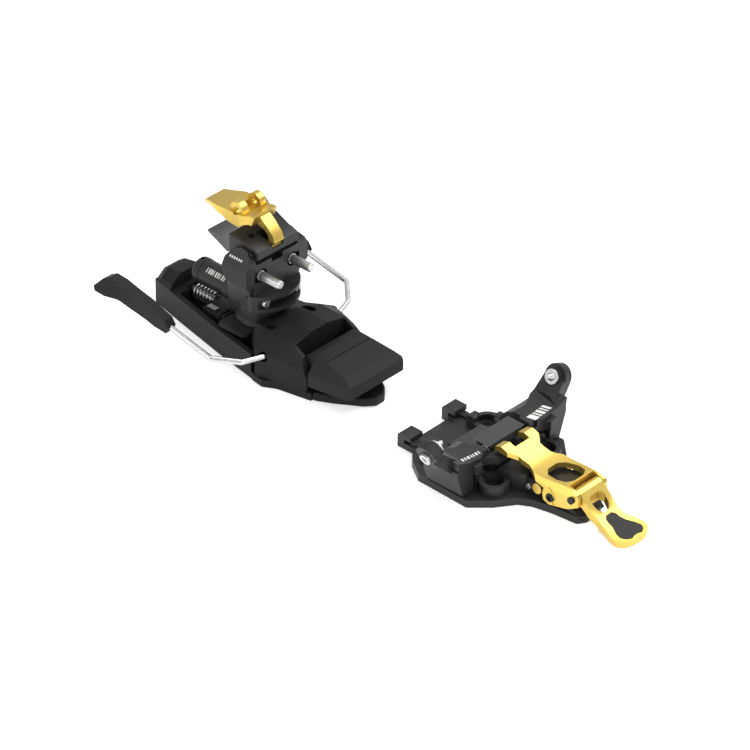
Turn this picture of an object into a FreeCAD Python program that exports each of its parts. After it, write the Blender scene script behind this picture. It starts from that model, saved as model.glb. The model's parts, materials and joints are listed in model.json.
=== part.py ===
import FreeCAD, Part
import math
import os

# Ski touring binding, toe unit and heel unit standing on the top of one ski.
# X points to the ski tip, Y to the skier's left, Z up. Z = 0 is the ski top.
# The origin is the centre of the four toe screws.

V = FreeCAD.Vector

# --- driving dimensions, mm -------------------------------------------------
RUN = 0.05              # radial play of a pin in its bore
GAP = 0.4               # air between parts that move past each other
WALL = 3.0              # wall of the moulded heel tray

# toe
TOE_PLATE = 4.0         # thickness of the toe plate
TOE_SCREW_X = 37.0      # toe screw spacing along the ski
TOE_SCREW_Y = 37.0      # toe screw spacing across the ski
SCREW_R = 2.8           # clearance hole of every ski screw
SCREW_HEAD_R = 5.0      # recess of the screw head
SCREW_BOSS_R = 7.5
SCREW_BOSS_TOP = 9.0
WING_HINGE_Y = 21.0     # hinge line of each wing
WING_HINGE_Z = 8.5
WING_OPEN = 21.0        # degrees the wings stand open
TOE_TIP_X = 2.0
TOE_TIP_Y = 37.4        # toe pin tip from the middle plane, wings open
TOE_TIP_Z = 32.2
TOE_PIN_R = 2.4
TOE_CONE = 4.6
YOKE_AXIS_X = 47.5      # gold yoke turns on the base here
YOKE_AXIS_Z = 9.5
LOCK_AXIS_X = 60.0      # folding front lever turns on the yoke here
LOCK_AXIS_Z = 13.8
YOKE_HALF = 12.0        # half width over the yoke side plates

# heel
TURRET_X = -152.0       # vertical axis of the turret
HEEL_PIN_Y = 10.9
HEEL_PIN_Z = 48.4
HEEL_PIN_R = 2.35
HEEL_PIN_TIP_X = -128.3
HEEL_FACE_X = -141.4    # front face of the turret head
HEAD_HALF = 21.5        # half width of the turret head
HEEL_FLOOR = 4.0        # floor thickness of the heel tray
TRAY_TOP = 14.0
HEEL_SCREW_X = 54.0     # heel screw spacing along the ski
HEEL_SCREW_Y = 24.0     # heel screw spacing across the ski
HEEL_SCREW_MID = -157.0
BARREL_Z = 24.0
BARREL_R = 6.7
BARREL_END_X = -190.5
RISER_AXIS_X = -144.5
RISER_AXIS_Z = 60.3
RISER_PIN_R = 1.6
RISER_PIN_HALF = 16.0
RISER_SLOT = 14.5       # half width of the slot for the two risers

# brake
BRAKE_AXIS_X = -125.0
BRAKE_AXIS_Z = 16.0
WIRE_R = 1.5
PAD_AXIS_X = -108.0
PAD_AXIS_Z = 12.5
PAD_PIN_R = 1.6

# fits and small features
SPRING_WALL_TOP = 12.6  # scalloped wall in front of the wing springs
HINGE_REACH = 9.5       # half length of the wing knuckle
LUG = 4.5               # thickness of each hinge lug
HINGE_R = 4.0
TONGUE_HALF = 8.6       # half width of the front tongue between the yoke plates
AXLE_R = 2.0
YOKE_PIN_R = 2.2
BLOCK_HALF = 12.9
BLOCK_TOP = 20.6
SPRING_X = 4.0
SPRING_Z = 13.0
SPRING_BORE_R = 4.2
HOOK_OUT = 20.0
HOOK_IN = 11.5
PIN_HEAD_BACK = 12.8
BOSS_R = 6.4
WING_BODY_X = 9.5
KNUCKLE_Y0 = 5.2
KNUCKLE_Y1 = 11.2
LOCK_PIN_R = 1.8
INSERT_DEPTH = 1.4
SPRING_GROOVE = 5.5
AXLE_CLEAR = 2.7
BRAKE_AXLE_R = 1.8
PAD_ROOM = 17.0
CARRIAGE_X0 = -182.0
CARRIAGE_X1 = -144.5
CARRIAGE_HALF = 13.6
CARRIAGE_LOW = HEEL_FLOOR + 0.35
FLANGE_Z = TRAY_TOP + 0.6
SCALE_Z = 12.4            # rear deck of the carriage, under the scale
SPINDLE_R = 7.0
ELASTIC_Z = 9.6
ADJ_R = 1.9
CRESCENT_R = 19.2
POST_R = 12.0
POST_LOW = FLANGE_Z + 2.0
HEAD_LOW = 43.6
SLOT_FLOOR = 55.7         # floor of the riser slot in the head
BARREL_FACE_X = -167.0
CLAMP_SCREW_Z = 33.5
CLAMP_SHANK_R = 1.6
PIN_PIVOT_X = -147.5
PIVOT_R = 1.5
ARM_HALF = 3.3           # half width of the high riser arm
EAR_X = -161.0
EAR_Z = 76.0
EAR_Y = 6.0
ARM_BEND_X = -129.0
ARM_WIDE_X = -140.0
ARM_WIDE_Y = 48.2
ARM_END_X = -176.0
ARM_RISE = 0.2
TIP_PLANE = 48.2
TIP_HALF = 2.8


# --- helpers ----------------------------------------------------------------
def box(x0, x1, y0, y1, z0, z1):
    return Part.makeBox(x1 - x0, y1 - y0, z1 - z0, V(x0, y0, z0))


def cyl_x(r, x0, x1, y, z):
    return Part.makeCylinder(r, x1 - x0, V(x0, y, z), V(1, 0, 0))


def cyl_y(r, y0, y1, x, z):
    return Part.makeCylinder(r, y1 - y0, V(x, y0, z), V(0, 1, 0))


def cyl_z(r, z0, z1, x, y):
    return Part.makeCylinder(r, z1 - z0, V(x, y, z0), V(0, 0, 1))


def face(points):
    return Part.Face(Part.makePolygon(points + [points[0]]))


def prism_z(outline, z0, z1):
    return face([V(x, y, z0) for x, y in outline]).extrude(V(0, 0, z1 - z0))


def prism_y(outline, y0, y1):
    return face([V(x, y0, z) for x, z in outline]).extrude(V(0, y1 - y0, 0))


def prism_x(outline, x0, x1):
    return face([V(x0, y, z) for y, z in outline]).extrude(V(x1 - x0, 0, 0))


def both_sides(half):
    """Closed plan outline from (x, half width) pairs."""
    return [(x, -w) for x, w in half] + [(x, w) for x, w in reversed(half)]


def loft(sections):
    wires = [Part.makePolygon(s + [s[0]]) for s in sections]
    return Part.makeLoft(wires, True, True)


def mirrored(shape):
    return shape.mirror(V(0, 0, 0), V(0, 1, 0))


def soften(shape, radius, pick):
    """Round the edges that pick() accepts, keeping the plain shape if it fails."""
    edges = [e for e in shape.Edges if pick(e)]
    if not edges:
        return shape
    try:
        rounded = shape.makeFillet(radius, edges)
    except Part.OCCError:
        return shape
    return rounded if rounded.isValid() else shape


def upright(edge):
    a = edge.Vertexes[0].Point
    b = edge.Vertexes[-1].Point
    return a.distanceToPoint(V(b.x, b.y, a.z)) < 0.01 and abs(a.z - b.z) > 1.0


def along_y(edge):
    a = edge.Vertexes[0].Point
    b = edge.Vertexes[-1].Point
    return a.distanceToPoint(V(a.x, b.y, a.z)) > 1.0 and a.distanceToPoint(b) - abs(a.y - b.y) < 0.01


def along_x(edge):
    a = edge.Vertexes[0].Point
    b = edge.Vertexes[-1].Point
    return abs(a.x - b.x) > 1.0 and a.distanceToPoint(b) - abs(a.x - b.x) < 0.01


def coil(axis_start, axis_dir, radius, wire_r, pitch, turns):
    """Round wire coil spring with its axis from axis_start along axis_dir."""
    helix = Part.makeHelix(pitch, pitch * turns, radius)
    ring = Part.Wire(Part.makeCircle(wire_r, V(radius, 0, 0), V(0, 1, 0)))
    body = Part.Wire(helix.Edges).makePipeShell([ring], True, True)
    body.Placement = FreeCAD.Placement(axis_start, FreeCAD.Rotation(V(0, 0, 1), axis_dir))
    return body


def wire_run(points, r, bend):
    """Round bar through points with rounded bends."""
    path = [points[0]]
    edges = []
    for i in range(1, len(points) - 1):
        p = points[i]
        before = (points[i - 1] - p).normalize()
        after = (points[i + 1] - p).normalize()
        half = before.getAngle(after) / 2
        cut = bend / math.tan(half)
        a = p + before * cut
        b = p + after * cut
        middle = (before + after).normalize()
        m = p + middle * (bend / math.sin(half) - bend)
        edges.append(Part.makeLine(path[-1], a))
        edges.append(Part.Arc(a, m, b).toShape())
        path.append(b)
    edges.append(Part.makeLine(path[-1], points[-1]))
    spine = Part.Wire(edges)
    tangent = (points[1] - points[0]).normalize()
    ring = Part.Wire(Part.makeCircle(r, points[0], tangent))
    return spine.makePipeShell([ring], True, False)


def screw(head_r, head_h, shank_r, shank_l, slot_w):
    """Slotted cheese-head screw, head on top, axis +Z, head seat at z = 0."""
    body = Part.makeCylinder(head_r, head_h)
    body = body.fuse(Part.makeCylinder(shank_r, shank_l, V(0, 0, -shank_l)))
    return body.cut(box(-head_r, head_r, -slot_w / 2, slot_w / 2, head_h * 0.55, head_h + 1))


def placed(shape, point, direction):
    shape = shape.copy()
    shape.Placement = FreeCAD.Placement(point, FreeCAD.Rotation(V(0, 0, 1), direction))
    return shape


def one(parts):
    body = parts[0]
    for extra in parts[1:]:
        body = body.fuse(extra)
    return body.removeSplitter()


def out(name, shape):
    shape.exportStep("parts/" + name + ".step")


# --- toe: base --------------------------------------------------------------
TOE_HALF_PLAN = [(-32.0, 20.0), (-25.0, 28.0), (-15.0, 34.5), (16.0, 35.0), (25.0, 26.5),
                 (32.0, 16.5), (38.0, 13.0), (48.0, 10.6), (62.0, 9.0), (64.5, 5.0)]
SPRING_WALL_PLAN = [(16.95, 14.0), (24.0, 12.6), (30.4, 9.0)]


def toe_screw_points():
    dx = TOE_SCREW_X / 2
    dy = TOE_SCREW_Y / 2
    return [(sx * dx, sy * dy) for sx in (-1, 1) for sy in (-1, 1)]


def toe_base_plate():
    body = prism_z(both_sides(TOE_HALF_PLAN), 0, TOE_PLATE)
    body = soften(body, 2.0, upright)
    parts = [body]
    for side in (-1, 1):
        stop = box(-26.8, -21.4, side * 15.0 - 2.6, side * 15.0 + 2.6, 0, 9.6)
        parts.append(soften(stop, 1.4, lambda e: along_y(e) and e.BoundBox.ZMin > 9))
    for x, y in toe_screw_points():
        parts.append(cyl_z(SCREW_BOSS_R, 0, SCREW_BOSS_TOP if x > 0 else SCREW_BOSS_TOP - 2, x, y))
    for side in (-1, 1):
        y = side * WING_HINGE_Y
        for x0 in (-HINGE_REACH - GAP - LUG, HINGE_REACH + GAP):
            x1 = x0 + LUG if x0 < 0 else x0 + LUG - 1.5
            parts.append(box(x0, x1, y - HINGE_R, y + HINGE_R, 0, WING_HINGE_Z))
            parts.append(cyl_x(HINGE_R, x0, x1, y, WING_HINGE_Z))
    parts.append(prism_z(both_sides(SPRING_WALL_PLAN), 0, SPRING_WALL_TOP))
    tongue = [(28.0, 2.0), (28.0, 10.4), (YOKE_AXIS_X - 8, 12.4), (YOKE_AXIS_X - 2, 13.4),
              (YOKE_AXIS_X + 2, 13.4), (YOKE_AXIS_X + 5, 8.6), (YOKE_AXIS_X + 13, 5.6),
              (YOKE_AXIS_X + 16.5, 2.0)]
    parts.append(prism_y(tongue, -TONGUE_HALF, TONGUE_HALF))
    body = one(parts)
    for x, y in toe_screw_points():
        body = body.cut(cyl_z(SCREW_R, -1, 20, x, y))
        body = body.cut(cyl_z(SCREW_HEAD_R, TOE_PLATE, 20, x, y))
    for side in (-1, 1):
        body = body.cut(cyl_x(AXLE_R, -15, 15, side * WING_HINGE_Y, WING_HINGE_Z))
    return body.cut(cyl_y(YOKE_PIN_R, -20, 20, YOKE_AXIS_X, YOKE_AXIS_Z))


def toe_centre_block():
    right = [(10.8, TOE_PLATE), (10.8, 13.0), (9.2, 15.4), (9.2, 17.0), (10.6, 18.7), (11.9, 19.9),
             (BLOCK_HALF, BLOCK_TOP)]
    left = [(-y, z) for y, z in reversed(right)]
    front = prism_x(right + left, -1.0, 9.6)
    low = [(-10.8, TOE_PLATE), (10.8, TOE_PLATE), (10.8, 9.0), (8.0, 12.4), (-8.0, 12.4), (-10.8, 9.0)]
    rear = prism_x(low, -17.5, -1.0)
    ramp = [(-17.5, TOE_PLATE), (-17.5, 8.0), (-14.0, 11.6), (-8.0, 12.4), (-1.0, 13.6), (-1.0, TOE_PLATE)]
    rear = rear.common(prism_y(ramp, -12, 12))
    body = soften(one([front, rear]), 1.0, lambda e: along_x(e) and e.BoundBox.ZMin > 13)
    return body.cut(cyl_y(SPRING_BORE_R, -20, 20, SPRING_X, SPRING_Z))


def toe_springs():
    half = [coil(V(SPRING_X, 0.8, SPRING_Z), V(0, 1, 0), 3.0, 0.7, 2.0, 5)]
    return Part.makeCompound(half + [mirrored(half[0])])


def crampon_receiver():
    profile = [(-42, 0), (-32.05, 0), (-32.05, 3.4), (-37.6, 3.4), (-37.6, 5.4), (-33.2, 5.4), (-33.2, 8.4),
               (-40.5, 8.4), (-42, 6.8)]
    hook = prism_y(profile, HOOK_IN, HOOK_OUT)
    bridge = box(-37.0, -32.05, -HOOK_IN, HOOK_IN, 0, 3.0)
    body = one([hook, mirrored(hook), bridge])
    foot = box(-34.0, -27.0, HOOK_OUT - 5.0, HOOK_OUT - 1.0, TOE_PLATE, TOE_PLATE + 1.4)
    foot = foot.fuse(box(-34.0, -32.05, HOOK_OUT - 5.0, HOOK_OUT - 1.0, 3.0, TOE_PLATE + 1.4))
    return one([body, foot, mirrored(foot)])


# --- toe: wings -------------------------------------------------------------
def tip_dir():
    a = math.radians(WING_OPEN)
    return V(0, -math.cos(a), math.sin(a))


def pin_point(back):
    """Point on the left toe pin axis, back mm behind its tip."""
    return V(TOE_TIP_X, TOE_TIP_Y, TOE_TIP_Z) - tip_dir() * back


def wing_left():
    h = WING_HINGE_Y
    web = [(h - 4.2, WING_HINGE_Z), (h - 2.5, 4.8), (h + 4, 4.5), (34.5, 4.5), (37.0, 12.0), (38.8, 17.5),
           (40.6, 22.0), (38.6, 25.4), (31.0, 21.6), (17.5, 20.4), (17.0, 14.0)]
    lobe = [(-WING_BODY_X, 3.0), (-WING_BODY_X, 12.5), (-8.2, 16.2), (-5.6, 18.6), (-2.4, 19.8), (-1.0, 21.0),
            (-1.0, 40.0), (WING_BODY_X, 40.0), (WING_BODY_X, 3.0)]
    body = prism_x(web, -WING_BODY_X, WING_BODY_X).common(prism_y(lobe, 0, 60))
    parts = [body, cyl_x(HINGE_R, -HINGE_REACH, HINGE_REACH, h, WING_HINGE_Z)]
    plate = [(14.8, 18.4), (29.0, 18.2), (38.0, 20.0), (38.8, 25.6), (32.0, 22.6), (24.0, 21.4), (14.8, 20.9)]
    plan = [(5.0, 14.0), (13.6, 14.0), (13.8, 40.0), (-4.0, 40.0), (-4.0, 32.0)]
    parts.append(prism_x(plate, -4.0, 13.8).common(prism_z(plan, 0, 40)))
    arm = [(29.0, 20.0), (29.0, 15.5), (14.0, 13.4), (5.0, 13.8), (4.0, 15.4), (5.0, 17.8), (12.0, 17.4),
           (14.8, 18.6)]
    parts.append(prism_x(arm, 10.2, 16.4))
    gusset = [(27.0, 5.2), (34.5, 4.5), (37.0, 12.0), (38.8, 17.5), (38.8, 20.0), (28.0, 20.0)]
    parts.append(prism_x(gusset, WING_BODY_X - 0.5, 13.4))
    neck_low = [V(TOE_TIP_X - 6.0, 36.5, 16.0), V(TOE_TIP_X + 8.0, 36.5, 16.0),
                V(TOE_TIP_X + 8.0, 34.0, 23.0), V(TOE_TIP_X - 6.0, 34.0, 23.0)]
    base = pin_point(4.0)
    rear_face = pin_point(11.0)
    side = V(1, 0, 0) * (BOSS_R * 0.92)
    inner = pin_point(6.4)
    neck_high = [rear_face - side + V(0, 0, -2), rear_face + side + V(0, 0, -2),
                 inner + side + V(0, 0, 1), inner - side + V(0, 0, 1)]
    parts.append(loft([neck_low, neck_high]))
    boss_dir = V(0, 0, 0) - tip_dir()
    parts.append(Part.makeCylinder(BOSS_R, 4.6, pin_point(6.4), boss_dir))
    parts.append(Part.makeCylinder(4.3, 2.4, base, boss_dir))
    body = one(parts)
    body = body.cut(box(10.9, 20.0, 0, 19.0, 17.6, 30.0))
    body = body.cut(Part.makeCylinder(TOE_PIN_R + 0.4, 20, pin_point(0), boss_dir))
    body = body.cut(cyl_x(AXLE_R + RUN, -20, 20, h, WING_HINGE_Z))
    body = body.cut(cyl_z(6.2, 4, 30, TOE_SCREW_X / 2, TOE_SCREW_Y / 2))
    for x0 in (-16.0, WING_BODY_X):
        lug_clear = box(x0, x0 + 6.4, h - HINGE_R - 0.5, h + HINGE_R + 0.5, 0, WING_HINGE_Z + HINGE_R + 0.5)
        body = body.cut(lug_clear)
    body = body.cut(Part.makeCylinder(4.3, 8.0, pin_point(11.0), boss_dir))
    return body.cut(Part.makeCylinder(4.5, 8.0, pin_point(4.0), tip_dir()))


def toe_pin_left():
    back = V(0, 0, 0) - tip_dir()
    cone = Part.makeCone(1.0, TOE_PIN_R, TOE_CONE, pin_point(0), back)
    shank = Part.makeCylinder(TOE_PIN_R, PIN_HEAD_BACK - TOE_CONE, pin_point(TOE_CONE), back)
    head = Part.makeCylinder(3.1, 1.8, pin_point(11.0 + 0.05), back)
    seat = Part.makeCylinder(3.9, 1.0, pin_point(2.95), back)
    body = one([cone, shank, seat, head])
    return body.cut(Part.makeCylinder(1.5, 1.2, pin_point(PIN_HEAD_BACK - 1.0), back))


def wing_axle_left():
    return cyl_x(AXLE_R, -HINGE_REACH - LUG, HINGE_REACH + LUG - 1.5, WING_HINGE_Y, WING_HINGE_Z)


# --- toe: yoke and lever ----------------------------------------------------
def yoke_plan():
    return [(12.0, KNUCKLE_Y1), (20.0, KNUCKLE_Y1), (24.0, 7.6), (31.0, 7.6), (38.5, YOKE_HALF),
            (57.0, YOKE_HALF), (63.5, 10.4)]


def lever_yoke():
    rail = [(11.5, 19.0), (12.4, 21.6), (16.0, 22.8), (20.0, 21.4), (26.0, 18.8), (33.0, 17.6), (42.0, 17.4),
            (52.0, 18.4), (58.0, 18.6), (62.4, 17.0), (64.4, 14.0), (63.4, 10.6), (59.0, 8.4), (47.0, 5.4),
            (43.6, 6.6), (42.8, 10.0), (43.6, 13.4), (36.0, 14.9), (26.0, 15.9), (20.5, 18.8)]
    body = prism_y(rail, -YOKE_HALF, YOKE_HALF)
    body = body.common(prism_z(both_sides(yoke_plan()), 0, 40))
    body = body.cut(box(8.0, 19.5, -KNUCKLE_Y0, KNUCKLE_Y0, 0, 40))
    tunnel = [(28, 0), (28, 14.6), (50.5, 14.6), (54.0, 10.4), (66, 10.4), (66, 0)]
    inner = TONGUE_HALF + GAP
    body = body.cut(prism_y(tunnel, -inner, inner))
    hole = prism_z(both_sides([(38.6, 3.4), (41.4, 6.8), (48.0, 8.0), (52.8, 6.9), (54.6, 3.4)]), 0, 40)
    body = body.cut(soften(hole, 1.8, upright))
    body = body.cut(box(LOCK_AXIS_X - 4.2, 70.0, -8.4, 8.4, 0, 40))
    for side in (-1, 1):
        bevel = [(side * 9.2, 19.6), (side * 12.6, 13.8), (side * 12.6, 24.0), (side * 9.2, 24.0)]
        body = body.cut(prism_x(bevel, 33.0, 66.0))
        panel = prism_y([(50.4, 6.8), (51.6, 11.4), (47.6, 15.6), (46.4, 15.2), (50.0, 11.2), (49.0, 6.6)],
                        side * YOKE_HALF - 0.4, side * YOKE_HALF + 0.4)
        body = body.cut(panel)
    body = body.cut(cyl_y(YOKE_PIN_R + RUN, -20, 20, YOKE_AXIS_X, YOKE_AXIS_Z))
    body = body.cut(cyl_y(LOCK_PIN_R, -20, 20, LOCK_AXIS_X, LOCK_AXIS_Z))
    return soften(body, 0.6, lambda e: along_y(e) and e.BoundBox.ZMax > 18)


def yoke_pivot_pin():
    body = cyl_y(YOKE_PIN_R, -YOKE_HALF - 0.6, YOKE_HALF + 0.6, YOKE_AXIS_X, YOKE_AXIS_Z)
    for y0 in (-YOKE_HALF - 0.6, YOKE_HALF - 0.4):
        body = body.cut(cyl_y(1.1, y0, y0 + 1.0, YOKE_AXIS_X, YOKE_AXIS_Z))
    return body


def lock_lever_pin():
    return cyl_y(LOCK_PIN_R, -YOKE_HALF - 0.4, YOKE_HALF + 0.4, LOCK_AXIS_X, LOCK_AXIS_Z)


def on_lock_axis(outline):
    return [(LOCK_AXIS_X + x, z) for x, z in outline]


LEVER_SIDE = [(-1.0, 17.2), (2.4, 16.6), (7.0, 12.4), (12.0, 8.0), (17.0, 5.4), (24.0, 4.2), (32.2, 3.6),
              (32.6, 0.6), (22.0, 0.4), (15.0, 1.6), (9.0, 5.4), (4.0, 9.6), (-1.0, 10.4)]
LEVER_PLAN = [(-1.0, 8.0), (8.0, 8.0), (13.0, 7.2), (18.0, 8.0), (23.0, 9.8), (27.0, 10.6), (30.0, 9.2),
              (32.0, 6.0), (32.6, 2.0)]
INSERT_PLAN = [(13.6, 2.0), (15.0, 3.6), (20.0, 4.6), (24.0, 6.8), (27.4, 7.6), (29.8, 6.2), (31.2, 3.4),
               (30.4, 1.2)]


def lever_skin(raise_by):
    """Slab between the lever top moved by raise_by and the one INSERT_DEPTH lower."""
    top = [(x, z + raise_by) for x, z in LEVER_SIDE if x > 11 and z > 3.5]
    low = [(x, z - INSERT_DEPTH) for x, z in reversed(top)]
    return prism_y(on_lock_axis(top + low), -12, 12)


def insert_plan():
    return both_sides([(LOCK_AXIS_X + x, w) for x, w in INSERT_PLAN])


def lock_lever():
    body = prism_y(on_lock_axis(LEVER_SIDE), -12, 12)
    body = body.common(prism_z(both_sides(on_lock_axis(LEVER_PLAN)), 0, 40))
    body = soften(body, 1.2, lambda e: e.BoundBox.XMin > LOCK_AXIS_X + 12 and e.BoundBox.ZMin > 3.0)
    body = one([body, cyl_y(3.6, -8.0, 8.0, LOCK_AXIS_X, LOCK_AXIS_Z)])
    window = [(LOCK_AXIS_X + x, w) for x, w in ((4.6, 3.4), (6.4, 5.0), (10.0, 4.2), (12.0, 1.8))]
    body = body.cut(soften(prism_z(both_sides(window), -1, 40), 1.0, upright))
    recess = lever_skin(0.0).fuse(lever_skin(INSERT_DEPTH * 0.9))
    body = body.cut(prism_z(insert_plan(), -1, 40).common(recess))
    return body.cut(cyl_y(LOCK_PIN_R + RUN, -20, 20, LOCK_AXIS_X, LOCK_AXIS_Z))


def lever_insert():
    return prism_z(insert_plan(), -1, 40).common(lever_skin(0.0))


def yoke_rollers():
    roller = cyl_y(2.8, TONGUE_HALF + 0.05, TONGUE_HALF + 2.6, 38.6, 9.8)
    return Part.makeCompound([roller, mirrored(roller)])


def detent_pins():
    pin = cyl_y(1.5, TONGUE_HALF + 0.02, TONGUE_HALF + 2.2, 33.0, 8.0)
    return Part.makeCompound([pin, mirrored(pin)])


# --- heel: fixed parts ------------------------------------------------------
TRAY_PLAN = [(-216.0, 11.5), (-196.0, 15.8), (-157.0, 23.5), (-133.0, 27.4)]
FOOT_PLAN = [(-133.0, 27.4), (-130.0, 28.4), (-124.0, 29.2), (-117.0, 25.4), (-98.0, 21.4)]


def heel_screw_points():
    dx = HEEL_SCREW_X / 2
    dy = HEEL_SCREW_Y / 2
    return [(HEEL_SCREW_MID + sx * dx, sy * dy) for sx in (-1, 1) for sy in (-1, 1)]


def inset(plan, by):
    return [(x, w - by) for x, w in plan]


def tray_room():
    outer = [(-197.0, 15.6)] + TRAY_PLAN[2:3] + [(-131.0, 27.7)]
    return prism_z(both_sides(inset(outer, WALL)), HEEL_FLOOR, 30)


def heel_base_plate():
    tray = prism_z(both_sides(TRAY_PLAN), 0, TRAY_TOP)
    tray = tray.cut(tray_room())
    foot = prism_z(both_sides(FOOT_PLAN), 0, HEEL_FLOOR)
    body = one([tray, foot])
    body = body.cut(cyl_x(ADJ_R + RUN, -204.0, -196.0, 0, ELASTIC_Z))
    body = body.cut(cyl_x(3.0, -217.0, -203.0, 0, ELASTIC_Z))
    body = body.cut(box(-200.0, -186.0, -SPRING_GROOVE, SPRING_GROOVE, HEEL_FLOOR, 40))
    for x, y in heel_screw_points():
        body = body.cut(cyl_z(SCREW_R, -1, 20, x, y))
        body = body.cut(Part.makeCone(SCREW_R, SCREW_HEAD_R - 0.4, 2.4, V(x, y, HEEL_FLOOR - 2.4)))
    return body


def rear_hood():
    sections = []
    for x, w, top in ((-216.0, 11.2, 17.6), (-212.0, 12.4, 20.2), (-202.3, 14.4, 21.2)):
        sections.append([V(x, -w, TRAY_TOP), V(x, -w * 0.9, top - 4.0), V(x, -w * 0.45, top),
                         V(x, w * 0.45, top), V(x, w * 0.9, top - 4.0), V(x, w, TRAY_TOP)])
    return loft(sections)


def cover_section(x, low_w, mid_w, mid_z, top_w, shoulder_z, ridge_z):
    low = HEEL_FLOOR
    return [V(x, -low_w, low), V(x, -mid_w, mid_z), V(x, -top_w, shoulder_z), V(x, -top_w * 0.32, ridge_z),
            V(x, top_w * 0.32, ridge_z), V(x, top_w, shoulder_z), V(x, mid_w, mid_z), V(x, low_w, low)]


def brake_housing():
    sections = [cover_section(-143.0, 17.5, 16.6, 15.0, 13.6, 21.6, 22.8),
                cover_section(-129.0, 28.4, 28.2, 18.4, 17.0, 24.8, 26.6),
                cover_section(-112.5, 25.0, 24.6, 17.0, 18.5, 23.8, 26.8),
                cover_section(-100.8, 21.6, 21.2, 14.0, 19.4, 18.0, 20.6)]
    walls = prism_z(both_sides(TRAY_PLAN), 0, TRAY_TOP).cut(tray_room())
    body = loft(sections).cut(walls)
    slope = [(-100.6, 11.0), (-107.6, 24.0), (-109.5, 30.0), (-99.0, 30.0), (-99.0, 11.0)]
    body = body.cut(prism_y(slope, -30, 30))
    body = body.cut(box(-112.4, -95.0, -PAD_ROOM, PAD_ROOM, 0, 40))
    body = body.cut(cyl_z(POST_R + 2.6, 0, 40, TURRET_X, 0))
    for y0 in (-32.0, 20.0):
        body = body.cut(cyl_y(AXLE_CLEAR, y0, y0 + 12.0, BRAKE_AXIS_X, BRAKE_AXIS_Z))
    body = body.cut(cyl_y(BRAKE_AXLE_R + 0.5, -21, 21, BRAKE_AXIS_X, BRAKE_AXIS_Z))
    body = body.cut(cyl_y(4.4, -9.8, 9.8, BRAKE_AXIS_X, BRAKE_AXIS_Z))
    oval = cyl_z(2.2, 18, 40, -131.5, 9.5).fuse(cyl_z(2.2, 18, 40, -127.0, 9.5))
    oval = oval.fuse(box(-131.5, -127.0, 7.3, 11.7, 18, 40))
    body = body.cut(oval)
    body = body.cut(box(-134.5, -129.0, -16.0, -12.6, 21.8, 40))
    return body.cut(cyl_y(PAD_PIN_R, -20.4, 20.4, PAD_AXIS_X, PAD_AXIS_Z))


def front_tongue():
    plan = [(-97.6, 21.2), (-88.0, 16.0), (-76.0, 8.0), (-71.5, 3.0)]
    body = prism_z(both_sides(plan), 0, 5.0)
    pads = box(-112.2, -98.0, 18.0, 21.0, HEEL_FLOOR, PAD_AXIS_Z + 3.0)
    bar = box(-97.6, -90.0, -6.0, 6.0, 3.0, 5.0)
    return one([body, bar]).cut(pads)


def pad_bracket():
    outline = [(-111.8, HEEL_FLOOR), (-101.0, HEEL_FLOOR), (-104.5, PAD_AXIS_Z + 2.6),
               (-111.0, PAD_AXIS_Z + 2.6)]
    cheek = prism_y(outline, 10.0, 13.0)
    floor = box(-111.8, -101.0, -13.0, 13.0, HEEL_FLOOR, HEEL_FLOOR + 1.6)
    body = one([cheek, mirrored(cheek), floor])
    return body.cut(cyl_y(PAD_PIN_R, -30, 30, PAD_AXIS_X, PAD_AXIS_Z))


# --- heel: carriage and springs --------------------------------------------
def carriage():
    plan = [(CARRIAGE_X0, CARRIAGE_HALF - 1.6), (CARRIAGE_X0 + 12.0, CARRIAGE_HALF),
            (CARRIAGE_X1, CARRIAGE_HALF)]
    block = prism_z(both_sides(plan), CARRIAGE_LOW, FLANGE_Z + 0.2)
    block = soften(block, 1.0, lambda e: e.BoundBox.ZMin > FLANGE_Z)
    block = block.cut(box(-190.0, -169.4, -20.0, 20.0, SCALE_Z, 30.0))
    flange = box(-163.0, -144.5, -21.0, 21.0, FLANGE_Z, FLANGE_Z + 1.6)
    flange = soften(flange, 3.0, upright)
    spindle = cyl_z(SPINDLE_R, FLANGE_Z, 30.0, TURRET_X, 0)
    seat = cyl_x(3.6, CARRIAGE_X0 - 1.6, CARRIAGE_X0, 0, ELASTIC_Z)
    body = one([block, flange, spindle, seat])
    for i in range(2):
        x = CARRIAGE_X0 + 13.8 + 2.6 * i
        body = body.cut(box(x, x + 1.4, -CARRIAGE_HALF - 1, -4.0, FLANGE_Z - 1.0, FLANGE_Z + 1.0))
    return body.cut(cyl_x(ADJ_R + RUN, -190, -150, 0, ELASTIC_Z))


def elastic_spring():
    return coil(V(-198.0, 0, ELASTIC_Z), V(1, 0, 0), 3.7, 0.62, 2.25, 6.0)


def adjuster_screw():
    return cyl_x(ADJ_R, -203.0, -162.0, 0, ELASTIC_Z)


def scale_plate():
    plate = box(-181.0, -174.6, -10.4, -6.6, SCALE_Z + 0.02, SCALE_Z + 0.3)
    ticks = [box(x, x + 0.4, -10.0, -7.0, SCALE_Z + 0.2, SCALE_Z + 0.5)
             for x in (-180.6, -179.6, -178.6, -177.6, -176.6, -175.6)]
    return one([plate] + ticks)


# --- heel: turret -----------------------------------------------------------
def turret_post():
    foot = Part.makeCone(POST_R + 1.5, POST_R, 3.0, V(TURRET_X, 0, POST_LOW))
    stem = cyl_z(POST_R, POST_LOW + 3.0, 29.0, TURRET_X, 0)
    socket = box(BARREL_FACE_X, TURRET_X, -8.6, 8.6, BARREL_Z - 7.4, 29.0)
    body = one([foot, stem, socket])
    return body.cut(cyl_z(SPINDLE_R + RUN, 0, 30.1, TURRET_X, 0))


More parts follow.
